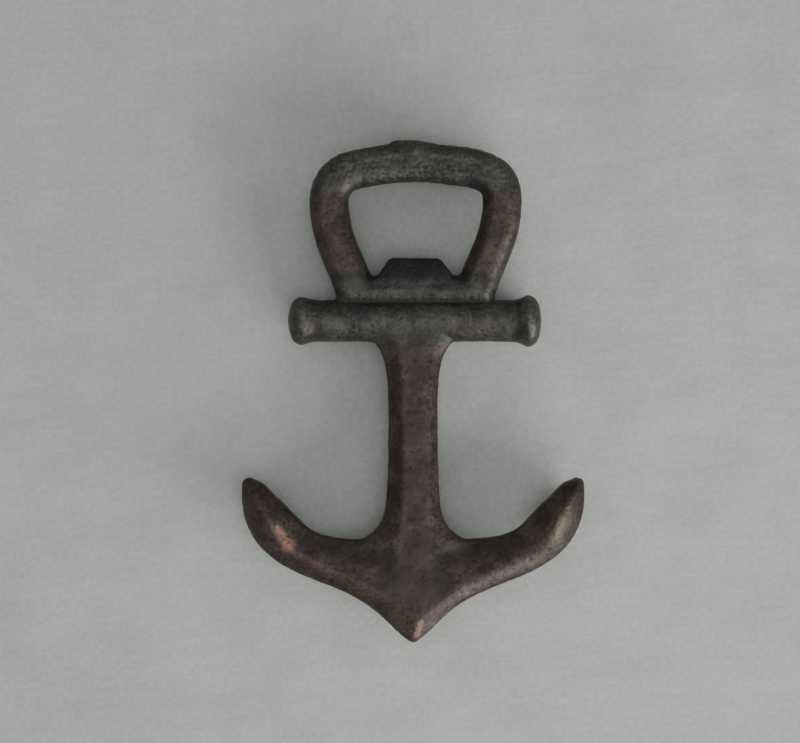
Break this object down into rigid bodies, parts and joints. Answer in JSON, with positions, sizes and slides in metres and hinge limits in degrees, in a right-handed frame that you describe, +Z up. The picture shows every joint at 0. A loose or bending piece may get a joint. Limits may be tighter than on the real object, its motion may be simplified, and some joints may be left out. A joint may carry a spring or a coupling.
{
  "type": "bottle opener",
  "caption": "Flat cast-iron bottle opener in the shape of a ship's anchor, with a closed bow and a tapered lip that lifts a crown cap.",
  "frame": {"origin": "middle of the footprint on the table, with the opener lying flat on its back", "axes": "+X along the stock to the right, +Y up the shank from the crown to the bow, +Z up off the table"},
  "size_m": [0.0868, 0.127, 0.0132],
  "materials": {
    "bronzed_iron": "rough sand casting, very dark brown wash with coppery rub-through on the high places",
    "dark_iron": "rough sand casting, near black"
  },
  "bodies": {
    "root": {"anchor_body": "bronzed_iron", "stock_bar": "bronzed_iron", "stock_knob_left": "bronzed_iron", "stock_knob_right": "bronzed_iron", "opener_bow": "bronzed_iron", "cap_lifter_lip": "dark_iron"}
  },
  "joints": []
}
